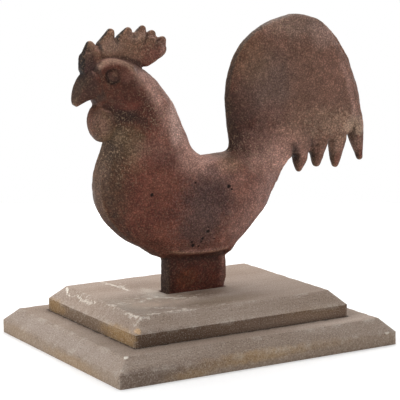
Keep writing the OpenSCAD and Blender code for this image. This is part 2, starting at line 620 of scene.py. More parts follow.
@dataclass(frozen=True)
class RustedIron:
    """Sand-cast iron with an old, even, handled rust."""

    body: str = "#774638"
    deep: str = "#63362b"
    # Dust and a painted highlight on the faces that turn up and back
    dust_and_highlight: str = "#a67e70"
    # Painted shade on the faces that turn to the beak's side
    edge: str = "#35261e"
    tan: str = "#b39274"
    # Dark tone of the hollows and of the painted shade
    dark: str = "#2f1d18"
    pit: str = "#180d0a"
    stem: str = "#54291f"
    stem_glow: str = "#7d4629"
    # Painted shade on the end of the stem
    stem_side_shade: str = "#1f1513"
    # Grey rim of the tail, with a painted sheen
    tail_rim_and_sheen: str = "#544641"
    # Painted highlight on the rim of the breast
    breast_rim_highlight: str = "#7d685a"
    # Pale tone of rubbed places and of painted highlights
    rubbed_and_highlit: str = "#c4988a"
    # Painted shade on the edges of the comb that turn to the beak
    comb_side_shade: str = "#151012"
    sand: str = "#bda083"
    # Range of the roughness, strength of the gloss and depth of the fine relief
    roughness: Pair = (0.5, 0.68)
    gloss: float = 0.2
    relief: float = 0.6
    # Heights between which the stem's tone and the painted shade on its end set in
    stem_from: Pair = (70, 62)
    stem_shade_from: Pair = (70, 64)
    # Places that take the general wear in their own way
    glow: Patch = Patch((-12, 48), (9, 7), 1.0)
    tail: Patch = Patch((92, 196), (72, 58), 0.2, 0.05)
    back: Patch = Patch((12, 138), (34, 12), 0.8, 0.1)
    breast: Patch = Patch((-92, 120), (18, 36), 0.8, 0.1)
    wattle: Patch = Patch((-82, 167), (10, 15), 0.6, 0.1)
    head: Patch = Patch((-76, 196), (32, 26), 0.6, 0.1)
    comb: tuple[Patch, Patch] = (
        Patch((-62, 228), (44, 15), 0.2, 0.05), Patch((-98, 212), (9, 14), 0.3, 0.05))
    stains: tuple[Stain, ...] = (
        # Grey-violet bloom where damp stood on the side of the body
        Stain((-1, 109), (21, 20), "#432d2c", 0.85, 0.9, 0.3, 6),
        Stain((-9, 88), (17, 14), "#503733", 0.75, 1.0, 0.3, 6),
        Stain((-8, 94), (20, 26), "#7c625a", 0.25, 0.3, 1.5, 1.4),
        Stain((-7, 78), (11, 6), "#1c100d", 0.2, 0.3, 1.6, 1.8),
        # Painted highlight on a bump above the bloom
        Stain((3, 130), (9, 5), "#8d6a62", 0.5),
        # Violet shade at the foot of the neck
        Stain((-35, 139), (11, 6), "#4d3230", 0.4, 1.2),
        # Olive grease on the breast
        Stain((-80, 128), (13, 34), "#503b2a", 0.75, 1.6),
        Stain((-68, 153), (14, 17), "#5f4e36", 0.75, 1.3, 0.35),
        # Dark cheek and face, and painted shade in the hollow under the jaw
        Stain((-72, 191), (17, 16), "#4f2b1f", 0.85, 0.7),
        Stain((-58, 176), (16, 12), "#562f25", 0.8, 1.0),
        Stain((-67, 178.5), (11, 3.2), "#6e3a2f", 0.6, 1.2),
        Stain((-67, 171), (10, 4), "#33201a", 0.8, 1.0, 0.1),
        # Grey-brown front of the comb, and beak
        Stain((-92, 210), (8, 16), "#412d2c", 0.9, 0.8),
        Stain((-95, 189), (11, 11), "#463029", 0.85, 0.8),
        # Tan wattle
        Stain((-80, 167), (8, 13), "#5b4233", 0.85, 0.9),
        # Olive-brown comb
        Stain((-60, 221), (32, 12), "#8a6a55", 0.7, 0.9),
        # Browner tail with a grey bloom, and its shaded foot
        Stain((92, 182), (62, 62), "#7f6051", 0.75, 0.8),
        Stain((58, 184), (20, 26), "#66544d", 0.6, 1.0),
        Stain((82, 236), (34, 14), "#967c6f", 0.6, 1.0),
        Stain((60, 163), (16, 10), "#7a5248", 0.45, 1.2),
        Stain((42, 206), (16, 18), "#80624a", 0.4, 1.2),
        Stain((118, 205), (14, 28), "#926858", 0.5, 1.2),
        Stain((110, 223), (13, 10), "#b89a8e", 0.4, 1.2),
        Stain((36, 163), (12, 24), "#523830", 0.8, 1.0),
        # Pale dry rust at the roots of the tail feathers and on the rump
        Stain((122, 152), (26, 12), "#6f4c3b", 0.5, 1.0, 0.4, 5),
        Stain((120, 154), (26, 8), "#bf9d86", 0.3, 0.4, 1.3, 2.4),
        Stain((84, 147), (16, 8), "#b89a82", 0.2, 0.4, 1.3, 2.0),
        Stain((100, 160), (26, 8), "#b3937b", 0.15, 0.4, 1.3, 2.0),
        Stain((139, 151), (9, 8), "#c8ab94", 0.5, 0.8, 0.6, 2.4),
        Stain((64, 137), (30, 15), "#ab7f70", 0.75, 1.0),
        # Painted shade in the crease where the tail rises from the back
        Stain((40, 148), (24, 14), "#3c1c14", 0.75, 1.1),
        # Red lobe at the back of the comb
        Stain((-38, 213), (12, 8), "#75443a", 0.6, 1.2),
    )
    # Stains, painted highlights and painted shade laid over the rubbed places and the painted shade
    top_stains: tuple[Stain, ...] = (
        # Dark eye, with painted shade at its lower left and a small painted highlight at its upper right
        Stain((-75.2, 198.9), (5.5, 5.5), "#26150f", 0.8, 0.4, 0.05),
        Stain((-74.1, 200.1), (4.0, 4.0), "#4b2d24", 0.85, 0.5, 0.05),
        Stain((-73.0, 201.4), (2.2, 1.8), "#86604f", 0.7, 1.0, 0.1),
        # Paler places on the cheek, comb, throat, back and side, and a painted highlight on the nape
        Stain((-65, 200), (5, 5), "#8a5c4f", 0.45, 1.2),
        Stain((-72, 220), (8, 5), "#a98b7c", 0.35, 1.2),
        Stain((-52, 227), (6, 4), "#a98b7c", 0.3, 1.2),
        Stain((-73, 158), (6, 5), "#a08468", 0.3, 1.2),
        Stain((-25, 163), (6, 16), "#dcb8ab", 0.5, 1.2),
        Stain((-12, 136), (12, 8), "#d0a596", 0.35, 1.2),
        Stain((18, 131), (10, 5), "#c09a80", 0.35, 1.2),
        Stain((25, 112), (9, 8), "#a87868", 0.35, 1.2),
        Stain((121, 137), (6, 6), "#c09a85", 0.4, 1.2),
        Stain((142, 136), (5, 6), "#b08c7c", 0.3, 1.2),
        Stain((130, 145), (7, 6), "#b8957f", 0.3, 1.2),
        # Painted shade at the foot of the tail and on the flank of its first feather
        Stain((21, 137.5), (7, 5), "#4a3322", 0.6, 1.2),
        Stain((46, 143), (9, 6), "#5a2c20", 0.3, 1.2),
        Stain((83.5, 132), (4, 7), "#1a0c0a", 0.7, 1.2),
        Stain((95, 154), (20, 6), "#5e4034", 0.3, 1.2),
        # Shade behind the brow, on the jaw and throat, and under the breast
        Stain((-55, 206), (6, 4), "#3a1f1a", 0.4, 1.2),
        Stain((-74, 180), (6, 4), "#3c1614", 0.4, 1.2),
        Stain((-66, 151), (5, 5), "#4a3a2a", 0.35, 1.2),
        Stain((-42, 77), (9, 6), "#3a1812", 0.35, 1.2),
    )
    # Where pale grains of sand still show: middle and half size in x and z
    sandy: tuple[tuple[Pair, Pair], ...] = (
        ((-72, 150), (16, 22)), ((-40, 176), (12, 30)), ((122, 154), (26, 12)), ((40, 138), (26, 12)),
        ((-60, 222), (28, 12)), ((66, 232), (20, 8)))
    pits: tuple[Triple, ...] = ()

    def material(self) -> bpy.types.Material:
        """Builds the finish.

        Returns:
            The material of the casting.
        """
        g = Graph("Sand-cast iron, bare, rusted and handled", self.deep)
        # Broad clouds of redder and browner rust
        g.tint(self.body, g.ramp(g.noise(22, 4), 0.36, 0.64))
        for stain in self.stains:
            g.tint(stain.colour, g.patch(stain), stain.share)
        # Darker, redder stem that hands don't rub
        g.tint(self.stem, g.height(*self.stem_from), 0.8)
        g.tint(self.stem_glow, g.patch(self.glow), 0.35)
        self.turned(g)
        # Rubbed places with painted highlights, painted shade, pale worn ridges and dark hollows
        for name, tone, strength in (("rubbed_and_highlit", self.rubbed_and_highlit, 0.75), ("painted_shade", self.dark, 0.75),
                                     ("ridge", self.tan, 0.3), ("hollow", self.dark, 0.6)):
            g.tint(tone, g.attribute(name), strength)
        # Painted shade on the edges of the comb that turn to the beak
        comb = g.math("MAXIMUM", *(g.patch(place) for place in self.comb))
        g.tint(self.comb_side_shade, g.times(g.ramp(g.normal()["X"], -0.2, -0.6, 0, 0.9), comb))
        for stain in self.top_stains:
            g.tint(stain.colour, g.patch(stain), stain.share)
        # Grain of the mould sand, about a millimetre wide
        fine = g.noise(1.15, 2, rough=0.65)
        self.sanded(g, fine)
        for x, z, size in self.pits:
            hole = g.blot((x, -20, z), (size, 20, size), 0.9, 0.5, 2.2)
            g.tint(self.pit, hole, 0.95)
        height = g.math("ADD", fine, g.times(g.noise(5, 3, shift=2.2), 0.8))
        rough = g.ramp(g.noise(9, 3, shift=7.7), 0.3, 0.7, *self.roughness)
        return g.finish(rough, height, self.relief, specular=self.gloss)

    def turned(self, g: Graph) -> None:
        """Tints the faces by the way that they turn, with dust, painted highlights and sheen, and
        painted shade.

        Args:
            g: The material's nodes.
        """
        normal = g.normal()
        tail, breast = g.patch(self.tail), g.patch(self.breast)
        # Dust and a painted highlight on faces that turn up and back, except on the tail and partly on
        # the back
        lying = g.math("ADD", g.times(normal["X"], 0.55), g.times(normal["Z"], 0.83))
        bare = g.math("MAXIMUM", tail, g.times(g.patch(self.back), 0.5))
        dusty_and_lit = g.times(g.ramp(lying, 0.08, 0.85, 0, 0.75), g.math("SUBTRACT", 1.0, bare))
        g.tint(self.dust_and_highlight, dusty_and_lit)
        # Grey rim of the tail: darker iron under a painted grey sheen
        side = g.math("ABSOLUTE", normal["Y"])
        g.tint(self.tail_rim_and_sheen, g.times(g.ramp(side, 0.8, 0.3, 0, 0.7), tail))
        # Painted shade on the edges that turn to the beak's side, but paler on the breast and the wattle
        pale = g.math("MAXIMUM", g.times(breast, 0.4), g.patch(self.wattle))
        edge = g.times(g.ramp(normal["X"], -0.2, -0.7, 0, 0.85), g.math("SUBTRACT", 1.0, pale))
        g.tint(self.edge, edge)
        # Painted highlight along the rim of the breast that turns to the beak
        rim = g.times(g.ramp(normal["X"], -0.6, -1.05, 0, 0.3), breast)
        g.tint(self.breast_rim_highlight, rim)
        # Painted shade on the end of the stem that turns to the beak's side
        low = g.height(*self.stem_shade_from)
        g.tint(self.stem_side_shade, g.times(g.ramp(normal["X"], -0.2, -0.7, 0, 0.6), low))

    def sanded(self, g: Graph, fine: Socket) -> None:
        """Mottles the colour and speckles it, palest where sand still shows.

        Args:
            g: The material's nodes.
            fine: Pattern of the fine grain.
        """
        mottle = g.noise(6, 3, shift=11.0, rough=0.6)
        g.lay(1.0, g.ramp(mottle, 0.3, 0.7, 0.82, 1.18), "MULTIPLY")
        # The head is a little smoother
        share = g.math("SUBTRACT", 1.0, g.times(g.patch(self.head), 0.4))
        g.lay(share, g.ramp(fine, 0.42, 0.75, 0.74, 2.0), "MULTIPLY")
        grains = g.noise(1.2, 2, shift=6.3, rough=0.65)
        g.tint(self.tan, g.ramp(grains, 0.52, 0.72, 0, 0.25))
        speck = g.ramp(grains, 0.54, 0.7, 0, 0.5)
        for centre, reach in self.sandy:
            place = g.patch(Patch(centre, reach, 1.2, 0.4))
            g.tint(self.sand, g.times(place, speck))


@dataclass(frozen=True)
class Mark:
    """A worn, dirty or rubbed place on a board, or one that carries painted light and shade: its middle,
    half size, colour and strength.
    """

    centre: Triple
    reach: Triple
    colour: str
    share: float
    soft: float = 1.2
    ragged: float = 0.35
    grain: float = 5.0


@dataclass(frozen=True)
class Scratch:
    """A pale scratch on a board: its two ends, half its width and its strength."""

    start: Triple
    end: Triple
    width: float
    share: float


@dataclass(frozen=True)
class WornPaint:
    """Thin grey-brown milk paint over pine, scuffed and rubbed."""

    name: str
    paint: str
    low_paint: str
    # Tone and strength on the upright faces along the board and at its ends
    sides: tuple[str, float]
    ends: tuple[str, float]
    marks: tuple[Mark, ...]
    scratches: tuple[Scratch, ...]
    # Middle and half size of the places with chalky flecks
    flecked: tuple[tuple[Triple, Triple], ...] = ()
    # Half the length and depth of the board above
    joint: Pair | None = None
    chalk: str = "#d9d0c4"
    scored: str = "#f6ede0"
    shade: str = "#4d4036"
    # Dirt and painted shade round the joint with the board above
    dirt_and_shade: str = "#5d4a3d"
    crevice: str = "#2b211a"
    roughness: float = 0.86
    gloss: float = 0.25
    relief: float = 0.15

    def material(self) -> bpy.types.Material:
        """Builds the finish.

        Returns:
            The material of one board.
        """
        g = Graph(self.name, self.paint)
        # Brush marks and grain that show through the thin paint, along the board, and cloudy dirt
        grain = g.noise(1.3, 4, (16, 1, 1), shift=3.0)
        cloud = g.noise(30, 4, (2, 1, 1), shift=8.0)
        g.tint(self.low_paint, g.ramp(grain, 0.36, 0.64, 0, 0.3))
        g.tint(self.low_paint, g.ramp(cloud, 0.42, 0.68, 0, 0.5))
        # Upright faces, where the paint is browner
        normal = g.normal("True Normal")
        for axis, (tone, share) in (("Y", self.sides), ("X", self.ends)):
            facing = g.math("ABSOLUTE", normal[axis])
            g.tint(tone, g.ramp(facing, 0.78, 0.95, 0, share))
        self.marked(g)
        if self.joint is not None:
            self.joined(g, self.joint)
        # Arrises that are rubbed pale
        g.tint(self.chalk, g.attribute("ridge"), 0.25)
        # Fine speckle of dust and worn pigment
        fine = g.noise(1.0, 2, rough=0.7)
        g.tint(self.chalk, g.ramp(fine, 0.5, 0.72, 0, 0.36))
        g.tint(self.shade, g.ramp(fine, 0.5, 0.28, 0, 0.48))
        height = g.math("ADD", grain, g.times(fine, 0.5))
        return g.finish(self.roughness, height, self.relief, specular=self.gloss)

    def marked(self, g: Graph) -> None:
        """Lays the marks, chalky flecks and scratches over the paint.

        Args:
            g: The material's nodes.
        """
        for mark in self.marks:
            blot = g.blot(mark.centre, mark.reach, mark.soft, mark.ragged, mark.grain)
            g.tint(mark.colour, blot, mark.share)
        fleck = g.ramp(g.noise(2.6, 3, (2.2, 1, 1), shift=9.1, rough=0.6), 0.56, 0.64, 0, 0.55)
        for centre, reach in self.flecked:
            g.tint(self.scored, g.times(g.blot(centre, reach, 1.4, 0.5, 6), fleck))
        for line in self.scratches:
            g.tint(self.scored, g.scratch(line.start, line.end, line.width), line.share)

    def joined(self, g: Graph, joint: Pair) -> None:
        """Lays dirt and painted shade round the joint with the board above.

        Args:
            g: The material's nodes.
            joint: Half the length and depth of the board above.
        """
        place = g.axes(g.place())
        beyond = (g.math("SUBTRACT", g.math("ABSOLUTE", place[axis]), half * MM)
                  for axis, half in zip("XY", joint))
        out = g.math("ADD", g.math("MAXIMUM", *beyond), g.torn(5, 3, 1.3, 1.5 * MM))
        # A wide band of dirt and painted shade, and a dark line in the joint itself
        g.tint(self.dirt_and_shade, g.ramp(out, 12 * MM, 0.0, 0, 0.3))
        g.tint(self.crevice, g.ramp(out, 2.2 * MM, 0.4 * MM, 0, 0.8))


@dataclass(frozen=True)
class PlainSteel:
    """Drawn steel of a plain wood screw, dulled."""

    tone: str = "#8f8f8c"
    dull: str = "#6f6a64"
    roughness: float = 0.45

    def material(self) -> bpy.types.Material:
        """Builds the finish.

        Returns:
            The material of the screws.
        """
        g = Graph("Plain steel screw, dulled", self.tone)
        # Slight dull stains on a grey metal
        g.tint(self.dull, g.ramp(g.noise(1.5, 3), 0.4, 0.7))
        return g.finish(self.roughness, metallic=1.0)


def paint_shape(obj: bpy.types.Object, rounds: int, ridge: Pair, hollow: Pair,
                extra: np.ndarray) -> None:
    """Stores at each point how much it stands proud of, or lies below, its surroundings.

    Args:
        obj: The finished piece.
        rounds: How many times the shape is averaged to find its surroundings.
        ridge: Millimetres proud that give 0 and 1.
        hollow: Millimetres deep that give 0 and 1.
        extra: Millimetres added to the height of each point before it is read.
    """
    points, normals = points_of(obj), normals_of(obj)
    pairs = np.empty(len(obj.data.edges) * 2, dtype=np.int64)
    obj.data.edges.foreach_get("vertices", pairs)
    a, b = pairs.reshape(-1, 2).T
    count = np.bincount(np.concatenate((a, b)), minlength=len(points)).clip(1)[:, None]
    smooth = points.copy()
    for _ in range(rounds):
        total = np.zeros_like(smooth)
        np.add.at(total, a, smooth[b])
        np.add.at(total, b, smooth[a])
        smooth = total / count
    proud = ((points - smooth) * normals).sum(axis=1) + extra
    store(obj, "ridge", smooth_step(*ridge, proud))
    store(obj, "hollow", smooth_step(*hollow, -proud))


# Ridge over the eye, which is sculpted and then rubbed
BROW = ((-82.6, 206.5), (-79.6, 208.7), (-75.5, 209.8), (-69.5, 209.5), (-64, 207.3), (-60, 204))


@dataclass
class RoosterCasting:
    """The bird and its stem, one rough iron casting."""

    node: str = "rooster_casting"
    # Cell of the remesh, rounds of smoothing that make the fillets, and share of the rims given back
    voxel: float = 0.85
    fillet_rounds: int = 7
    rim_kept: float = 0.75
    # Fill of the comb's rims, and the turn, heights and places between which it sets in
    comb_fill: float = 0.8
    comb_rim: Pair = (0.8, 0.4)
    comb_foot: Pair = (209, 214)
    comb_back: Pair = (-22, -26)
    # Depth and width of the cast roughness, and the heights between which it sets in over the mortise
    lump: Pair = (0.35, 14)
    grit: Pair = (0.1, 2.6)
    rough_from: Pair = (38, 42)
    # Share of the normal along Y between which a face turns into a rim that the fills move
    rim_from: Pair = (0.9, 0.5)
    # Millimetres that the finished casting stays inside the box of its node
    margin: float = 0.01
    triangle_limit: int = 190_000
    strokes: tuple[Stroke, ...] = (
        # Brow ridge, with the edge of the neck that runs on from it
        Stroke(BROW, 1.6, 1.4),
        Stroke(((-60, 204), (-57, 199.5), (-51, 192), (-44.8, 184), (-41, 175)), 3.0, 1.0, 0.1),
        # Groove between comb and head, deepest at the back
        Stroke(((-46, 204), (-53, 208.5), (-61, 211.6), (-70, 213), (-80, 211.5)), 2.0, -1.0, 0.2),
        # Sunk face under the brow, and the eye in its ring
        Stroke(((-79, 203.5), (-68, 203.5)), 3.2, -0.6),
        Stroke(ring((-74.4, 199.7), 4.8), 0.9, -0.9),
        Stroke(((-74.4, 199.7),), 2.8, 0.3),
        # Jaw
        Stroke(((-75, 181.2), (-70, 179.4), (-62, 176)), 2.6, 0.6, 0.2),
        Stroke(((-79, 179), (-73.6, 176.8), (-66.7, 174.1), (-59.4, 171.2)), 2.6, -1.5, 0.2),
        # Folds that run down from between the points of the comb
        Stroke(((-81.5, 220), (-79, 214)), 1.5, -1.3, 0.2),
        Stroke(((-67, 225), (-68, 218)), 1.5, -1.3, 0.2),
        Stroke(((-52, 228), (-55, 221)), 1.5, -1.3, 0.2),
        Stroke(((-42, 227), (-46, 220)), 1.4, -1.3, 0.2),
        Stroke(((-33, 223), (-39, 217)), 1.4, -1.3, 0.2),
        # Grooves that run up between the tail feathers
        Stroke(((82, 133), (82, 142)), 2.4, -1.1, 0.1),
        Stroke(((100, 135), (99, 146)), 2.4, -1.1, 0.1),
        Stroke(((117, 140), (116, 151)), 2.4, -1.1, 0.1),
        Stroke(((137, 142), (134, 152)), 2.4, -1.1, 0.1),
        # Soft crease at the foot of the tail
        Stroke(((28, 147), (34, 142.5), (44, 139)), 5.0, -1.0, 0.3),
        # Lip of the body over the stem
        Stroke(((-28, 70.5), (-17, 69), (-5, 67.8), (8, 67.8), (19, 68.6)), 1.8, 0.8),
        Stroke(((20, 64), (8, 63.2), (-5, 63.2), (-17, 64.5), (-30, 66)), 2.4, -2.0, 0.4),
    )
    # Lines in x and z, with their half width and lift, where the outline is fuller or leaner
    fills: tuple[tuple[Line, float, float], ...] = (
        # Back of the comb, nape, back and breast
        (((-32, 212.5),), 5.0, 1.0),
        (((-21, 178), (-16, 169), (-11, 158)), 6.0, 0.8),
        (((-8, 145),), 5.0, -0.5),
        (((24, 141),), 5.0, 1.6),
        (((-82, 102), (-77, 95), (-70, 88), (-55, 77), (-38, 68)), 8.0, 1.0),
        # Rump and the end of the stem
        (((67, 107), (64, 102), (60, 96)), 8.0, 1.3),
        (((78, 124), (80, 127)), 6.0, -1.0),
        (((27, 64), (24, 56), (23, 46)), 5.0, 1.6),
        # Edge of the tail
        (((30, 208), (37, 217), (48, 227)), 4.0, 0.6),
        (((106, 233), (119, 222), (128, 211), (134, 203)), 5.0, 1.0),
        (((147.5, 156),), 4.0, 1.0),
        # First three tail feathers and the notches beside the first
        (((79, 127), (83, 130.5)), 3.5, -2.0),
        (((93, 128),), 5.0, 1.8),
        (((100.5, 135),), 3.5, 3.0),
        (((106.5, 127),), 5.5, 0.8),
        (((125, 127),), 6.0, 0.8),
    )
    # Lines in x and z, with their half width and rounds of smoothing, where the casting is rounder
    soft: tuple[tuple[Line, float, int], ...] = (
        (((-24, 142), (-10, 136), (8, 135), (26, 141)), 9.0, 45),
        (((-29, 40), (-29, 64)), 5.0, 32),
        (((22, 40), (22, 64)), 5.0, 20),
        (((-32, 66), (-5, 62), (25, 65)), 5.0, 25),
        (((145, 168), (149, 150)), 4.0, 25),
    )
    # Lines in x and z, with their half width and strength, that are paler: places that hands have
    # rubbed, and painted highlights on the nape and on the right-hand rims of the body, tail, comb and
    # stem
    rubbed_and_highlit: tuple[tuple[Line, float, float], ...] = (
        (((-55, 203), (-46, 193), (-39, 181)), 6.0, 1.0),
        (((-39, 181), (-33, 167), (-28, 153)), 6.0, 0.7),
        (((-32, 173), (-26, 164), (-21, 153), (-17, 144)), 5.0, 1.0),
        (((-24, 132), (-12, 129), (4, 126), (14, 123), (26, 120)), 7.0, 0.3),
        (BROW, 1.8, 0.6),
        (((-29, 153), (-24, 144), (-12, 138)), 7.0, 0.3),
        (((-20, 70), (-5, 68.6), (8, 68.6), (19, 69.4)), 1.6, 0.4),
        (((48, 138), (62, 134), (72, 130)), 12.0, 0.75),
        (((58, 121), (43, 103), (28, 84)), 14.0, 0.5),
        (((127, 198), (133, 185), (137, 172), (140, 160)), 3.0, 0.6),
        (((-29.5, 217), (-31, 210)), 2.0, 0.6),
        (((-82, 168), (-81, 162)), 3.5, 0.15),
        (((-57, 147), (-40, 149)), 8.0, 0.2),
        (((19.5, 42), (19.5, 60)), 3.0, 0.3),
    )
    # The same for painted shade: under the jaw, the brow ridge and the body, in the folds of the comb,
    # at the foot of the tail, and on the left flanks of the wattle, stem and tail feathers
    painted_shade: tuple[tuple[Line, float, float], ...] = (
        (((-73, 175.5), (-66, 172), (-58, 169), (-52, 166)), 3.6, 0.8),
        (((27, 178), (27, 160), (30, 148), (40, 140)), 7.0, 0.6),
        (((-81.5, 221), (-79, 214)), 1.8, 0.25),
        (((-67, 226), (-68, 219)), 1.8, 0.55),
        (((-52, 229), (-55, 222)), 1.8, 0.55),
        (((-42, 228), (-46, 221)), 1.6, 0.55),
        (((-33, 224), (-38, 218)), 1.6, 0.55),
        (((-62, 207), (-52, 205), (-45, 202)), 3.0, 0.6),
        (((40, 140), (54, 141)), 6.0, 0.35),
        (((-64, 199), (-54, 187.5), (-48, 178), (-46, 168)), 4.0, 0.4),
        (((-28, 63), (-5, 61), (12, 61)), 4.5, 0.65),
        (((-26.5, 42), (-25.5, 66)), 3.8, 0.9),
        (((-23.5, 67), (-24.5, 52)), 5.5, 0.75),
        (((-85, 181), (-86.8, 173), (-86.7, 166), (-85, 158), (-82, 153.7)), 1.6, 0.5),
        (((-36, 71), (-26, 66), (-14, 63)), 4.5, 0.6),
        (((-56, 82), (-44, 75), (-34, 70)), 7.0, 0.3),
        # Shaded left flanks of the tail feathers
        (((80, 140), (83, 133), (87, 125)), 3.2, 1.0),
        (((97, 142), (100, 135), (103.5, 125)), 2.6, 0.6),
    )
    # Blow holes in the front face: x, z and width
    pits: tuple[Triple, ...] = (
        (-48.4, 114.7, 1.2), (15.5, 115.8, 1.5), (17.8, 113.4, 0.9), (-13.5, 121.0, 0.8),
        (-1.5, 83.8, 1.3), (-5.3, 78.7, 1.3), (-14.0, 76.9, 0.9), (-12.6, 74.2, 1.2),
        (-7.9, 72.9, 0.7), (-6.2, 76.6, 0.8), (4.9, 77.6, 0.6), (-1.0, 87.0, 0.6))

    def build(self) -> bpy.types.Object:
        """Models the casting.

        Returns:
            The finished piece without its material.
        """
        obj = copy_of_node(self.node, "rooster")
        obj.data.remesh_voxel_size = self.voxel * MM
        bpy.ops.object.voxel_remesh()
        rough, normals = points_of(obj), normals_of(obj)
        apply_modifier(obj, "SMOOTH", factor=0.5, iterations=self.fillet_rounds)
        # Fillets stay, and most of what the smoothing took off the rims is given back
        lost = ((rough - points_of(obj)) * normals).sum(axis=1).clip(min=0)
        set_points(obj, points_of(obj) + self.rim_kept * lost[:, None] * normals)
        apply_modifier(obj, "SMOOTH", factor=0.5, iterations=2)
        self.soften(obj)
        self.sculpt(obj)
        triangles = sum(len(face.vertices) - 2 for face in obj.data.polygons)
        apply_modifier(obj, "DECIMATE", ratio=min(1.0, self.triangle_limit / triangles))
        LOG.info("rooster: %d triangles thinned to %d", triangles, len(obj.data.polygons))
        make_active(obj)
        bpy.ops.object.shade_smooth()
        return obj

    def soften(self, obj: bpy.types.Object) -> None:
        """Rounds the casting further along the soft lines.

        Args:
            obj: The filleted casting.
        """
        for line, width, rounds in self.soft:
            share = closeness(points_of(obj), line, width)
            group = obj.vertex_groups.new(name="soft")
            for index in np.flatnonzero(share > 0.05).tolist():
                group.add([index], float(share[index]), "REPLACE")
            apply_modifier(obj, "SMOOTH", factor=0.5, iterations=rounds, vertex_group="soft")
            obj.vertex_groups.clear()

    def sculpt(self, obj: bpy.types.Object) -> None:
        """Adds the cast detail and roughness to the smooth form, and marks where it is worn and where
        painted highlights and painted shade go.

        Args:
            obj: The smooth casting.
        """
        low, high = (np.array(v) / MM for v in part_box(self.node))
        points, normals = points_of(obj), normals_of(obj)
        facing = np.abs(normals[:, 1])
        holes = tuple(Stroke(((x, z),), 0.8 * size, -size, side=Side.FRONT) for x, z, size in self.pits)
        marks = sum(stroke.push(points, normals) for stroke in self.strokes + holes)
        push = marks.copy()
        above = smooth_step(*self.rough_from, points[:, 2])
        push += above * self.lump[0] * field_noise(points, self.lump[1], 3.1)
        push += above * self.grit[0] * field_noise(points, self.grit[1], 9.4, 2)
        # The rims of the comb are fuller than the smoothing leaves them
        rim = smooth_step(*self.comb_rim, facing) * smooth_step(*self.comb_foot, points[:, 2])
        push += self.comb_fill * rim * smooth_step(*self.comb_back, points[:, 0])
        for line, width, lift in self.fills:
            push += lift * closeness(points, line, width) * smooth_step(*self.rim_from, facing)
        points = points + normals * push[:, None]
        set_points(obj, np.clip(points, low + self.margin, high - self.margin))
        paint_shape(obj, rounds=14, ridge=(0.15, 1.1), hollow=(0.15, 1.0), extra=0.5 * marks)
        # The rubbed places, painted highlights and painted shade get ragged edges
        ragged = 1 + 0.35 * field_noise(points, 5, 7.7)
        for name, lines in (("rubbed_and_highlit", self.rubbed_and_highlit), ("painted_shade", self.painted_shade)):
            shares = [strength * closeness(points, line, width / ragged)
                      for line, width, strength in lines]
            store(obj, name, np.max(shares, axis=0))
        LOG.info("rooster: %d points", len(points))


